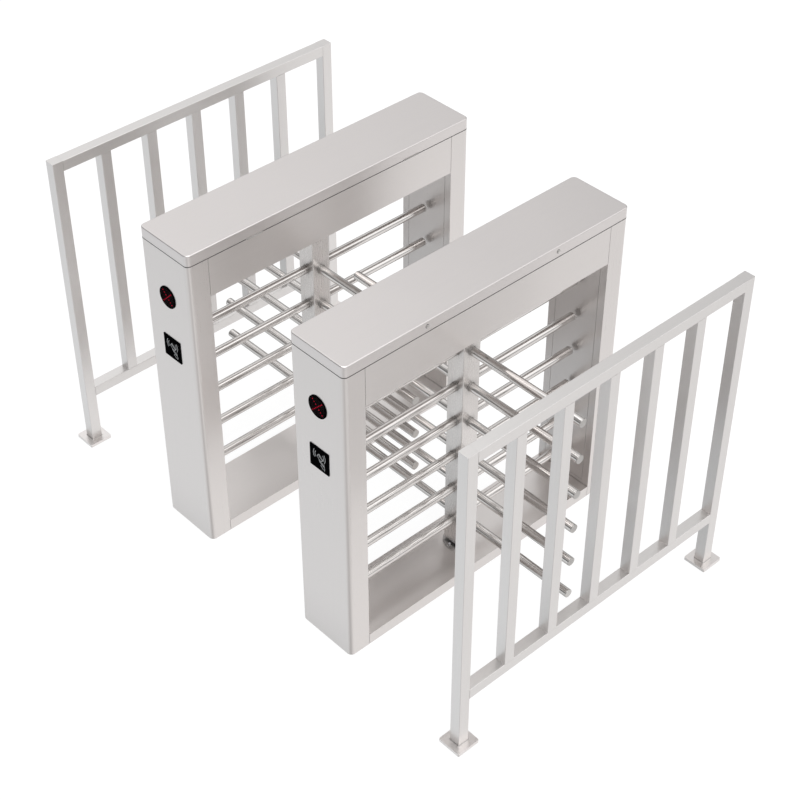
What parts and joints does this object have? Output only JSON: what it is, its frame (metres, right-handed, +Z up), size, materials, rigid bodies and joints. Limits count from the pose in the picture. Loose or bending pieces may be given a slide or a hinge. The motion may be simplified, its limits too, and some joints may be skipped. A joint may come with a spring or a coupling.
{
  "type": "half-height turnstile",
  "caption": "Two-lane half-height visitor turnstile: slim steel cabinets with four-wing rotors that interleave over the middle lane, between guard railings.",
  "frame": {"origin": "on the floor, midway between the two cabinets, level with the two rotor axes", "axes": "+X across the lanes towards the right-hand railing, +Y along the lanes away from the front card readers, +Z up"},
  "size_m": [2.529, 1.56, 1.5],
  "materials": {
    "cabinet_steel": "satin brushed, vertical grain",
    "wing_tube": "fine polished tube",
    "railing_steel": "satin brushed square tube",
    "machined_steel": "machined",
    "gear_steel": "oiled dark steel",
    "bearing_iron": "painted cast housing",
    "black_glass": "gloss black window",
    "black_case": "moulded black case",
    "coil_case": "dark painted coil frame",
    "board_green": "solder mask green",
    "supply_case": "plain folded aluminium",
    "lock_metal": "plated lock barrel",
    "bumper_rubber": "matt black"
  },
  "bodies": {
    "fixed_frame": {"column_door_panels": "cabinet_steel", "fixed_hinge_leaves": "machined_steel", "lid_bumpers": "bumper_rubber", "bottom_bearings": "bearing_iron", "top_bearings": "bearing_iron", "mechanism_plates": "machined_steel", "rotary_dampers": "black_case", "rotor_encoders": "black_case", "pawl_solenoids": "coil_case", "pawl_pins": "machined_steel", "control_boards": "board_green", "power_supplies": "supply_case", "direction_indicators": "black_glass", "card_readers": "black_glass", "railing_posts": "railing_steel", "railing_top_rails": "railing_steel", "railing_lower_rails": "railing_steel", "railing_balusters": "railing_steel", "railing_base_plates": "railing_steel", "left_front_column": "cabinet_steel", "left_rear_column": "cabinet_steel", "left_beam": "cabinet_steel", "left_base": "cabinet_steel", "right_front_column": "cabinet_steel", "right_rear_column": "cabinet_steel", "right_beam": "cabinet_steel", "right_base": "cabinet_steel"},
    "left_rotor": {"left_rotor_post": "cabinet_steel", "left_rotor_bars": "wing_tube", "left_bar_end_caps": "wing_tube", "left_rotor_shaft": "machined_steel", "left_drive_gear": "gear_steel", "left_lock_disc": "machined_steel"},
    "left_damper_gear": {"left_damper_pinion": "gear_steel"},
    "left_encoder_gear": {"left_encoder_pinion": "gear_steel"},
    "left_entry_latch": {"left_entry_pawl": "gear_steel"},
    "left_entry_actuator": {"left_entry_plunger": "machined_steel"},
    "left_exit_latch": {"left_exit_pawl": "gear_steel"},
    "left_exit_actuator": {"left_exit_plunger": "machined_steel"},
    "left_lid_cover": {"left_lid": "cabinet_steel", "left_lid_hinge_leaves": "machined_steel"},
    "left_front_lock": {"left_front_lid_lock": "lock_metal"},
    "left_rear_lock": {"left_rear_lid_lock": "lock_metal"},
    "right_rotor": {"right_rotor_post": "cabinet_steel", "right_rotor_bars": "wing_tube", "right_bar_end_caps": "wing_tube", "right_rotor_shaft": "machined_steel", "right_drive_gear": "gear_steel", "right_lock_disc": "machined_steel"},
    "right_damper_gear": {"right_damper_pinion": "gear_steel"},
    "right_encoder_gear": {"right_encoder_pinion": "gear_steel"},
    "right_entry_latch": {"right_entry_pawl": "gear_steel"},
    "right_entry_actuator": {"right_entry_plunger": "machined_steel"},
    "right_exit_latch": {"right_exit_pawl": "gear_steel"},
    "right_exit_actuator": {"right_exit_plunger": "machined_steel"},
    "right_lid_cover": {"right_lid": "cabinet_steel", "right_lid_hinge_leaves": "machined_steel"},
    "right_front_lock": {"right_front_lid_lock": "lock_metal"},
    "right_rear_lock": {"right_rear_lid_lock": "lock_metal"}
  },
  "joints": [
    {"name": "left_rotor_spin", "type": "hinge", "parent": "fixed_frame", "child": "left_rotor", "pos_m": [-0.4525, 0, 0.66], "axis": [0, 0, 1], "continuous": true},
    {"name": "left_damper_spin", "type": "hinge", "parent": "fixed_frame", "child": "left_damper_gear", "pos_m": [-0.37622, 0.05853, 1.335], "axis": [0, 0, 1], "continuous": true},
    {"name": "left_encoder_spin", "type": "hinge", "parent": "fixed_frame", "child": "left_encoder_gear", "pos_m": [-0.5383, 0.06584, 1.335], "axis": [0, 0, 1], "continuous": true},
    {"name": "left_entry_pawl_swing", "type": "hinge", "parent": "fixed_frame", "child": "left_entry_latch", "pos_m": [-0.3345, -0.07, 1.358], "axis": [0, 0, 1], "range_deg": [0, 10]},
    {"name": "left_entry_plunger_slide", "type": "slide", "parent": "fixed_frame", "child": "left_entry_actuator", "axis": [1, 0, 0], "range_m": [0, 0.0071]},
    {"name": "left_exit_pawl_swing", "type": "hinge", "parent": "fixed_frame", "child": "left_exit_latch", "pos_m": [-0.5705, -0.07, 1.358], "axis": [0, 0, 1], "range_deg": [-10, 0]},
    {"name": "left_exit_plunger_slide", "type": "slide", "parent": "fixed_frame", "child": "left_exit_actuator", "axis": [-1, 0, 0], "range_m": [0, 0.0071]},
    {"name": "left_lid_hinge", "type": "hinge", "parent": "fixed_frame", "child": "left_lid_cover", "pos_m": [-0.3003, 0, 1.449], "axis": [0, 1, 0], "range_deg": [0, 80]},
    {"name": "left_front_lock_turn", "type": "hinge", "parent": "left_lid_cover", "child": "left_front_lock", "pos_m": [-0.5975, -0.345, 1.476], "axis": [-1, 0, 0], "range_deg": [0, 90]},
    {"name": "left_rear_lock_turn", "type": "hinge", "parent": "left_lid_cover", "child": "left_rear_lock", "pos_m": [-0.5975, 0.345, 1.476], "axis": [1, 0, 0], "range_deg": [0, 90]},
    {"name": "right_rotor_spin", "type": "hinge", "parent": "fixed_frame", "child": "right_rotor", "pos_m": [0.4525, 0, 0.66], "axis": [0, 0, 1], "continuous": true},
    {"name": "right_damper_spin", "type": "hinge", "parent": "fixed_frame", "child": "right_damper_gear", "pos_m": [0.52878, 0.05853, 1.335], "axis": [0, 0, 1], "continuous": true},
    {"name": "right_encoder_spin", "type": "hinge", "parent": "fixed_frame", "child": "right_encoder_gear", "pos_m": [0.3667, 0.06584, 1.335], "axis": [0, 0, 1], "continuous": true},
    {"name": "right_entry_pawl_swing", "type": "hinge", "parent": "fixed_frame", "child": "right_entry_latch", "pos_m": [0.5705, -0.07, 1.358], "axis": [0, 0, 1], "range_deg": [0, 10]},
    {"name": "right_entry_plunger_slide", "type": "slide", "parent": "fixed_frame", "child": "right_entry_actuator", "axis": [1, 0, 0], "range_m": [0, 0.0071]},
    {"name": "right_exit_pawl_swing", "type": "hinge", "parent": "fixed_frame", "child": "right_exit_latch", "pos_m": [0.3345, -0.07, 1.358], "axis": [0, 0, 1], "range_deg": [-10, 0]},
    {"name": "right_exit_plunger_slide", "type": "slide", "parent": "fixed_frame", "child": "right_exit_actuator", "axis": [-1, 0, 0], "range_m": [0, 0.0071]},
    {"name": "right_lid_hinge", "type": "hinge", "parent": "fixed_frame", "child": "right_lid_cover", "pos_m": [0.3003, 0, 1.449], "axis": [0, -1, 0], "range_deg": [0, 80]},
    {"name": "right_front_lock_turn", "type": "hinge", "parent": "right_lid_cover", "child": "right_front_lock", "pos_m": [0.5975, -0.345, 1.476], "axis": [-1, 0, 0], "range_deg": [0, 90]},
    {"name": "right_rear_lock_turn", "type": "hinge", "parent": "right_lid_cover", "child": "right_rear_lock", "pos_m": [0.5975, 0.345, 1.476], "axis": [1, 0, 0], "range_deg": [0, 90]}
  ],
  "couplings": [
    {"joint": "left_damper_spin", "follows": "left_rotor_spin", "ratio": -3},
    {"joint": "left_encoder_spin", "follows": "left_rotor_spin", "ratio": -2},
    {"joint": "left_entry_plunger_slide", "follows": "left_entry_pawl_swing", "m_per_rad": 0.04},
    {"joint": "left_exit_plunger_slide", "follows": "left_exit_pawl_swing", "m_per_rad": -0.04},
    {"joint": "right_damper_spin", "follows": "right_rotor_spin", "ratio": -3},
    {"joint": "right_encoder_spin", "follows": "right_rotor_spin", "ratio": -2},
    {"joint": "right_entry_plunger_slide", "follows": "right_entry_pawl_swing", "m_per_rad": 0.04},
    {"joint": "right_exit_plunger_slide", "follows": "right_exit_pawl_swing", "m_per_rad": -0.04}
  ]
}
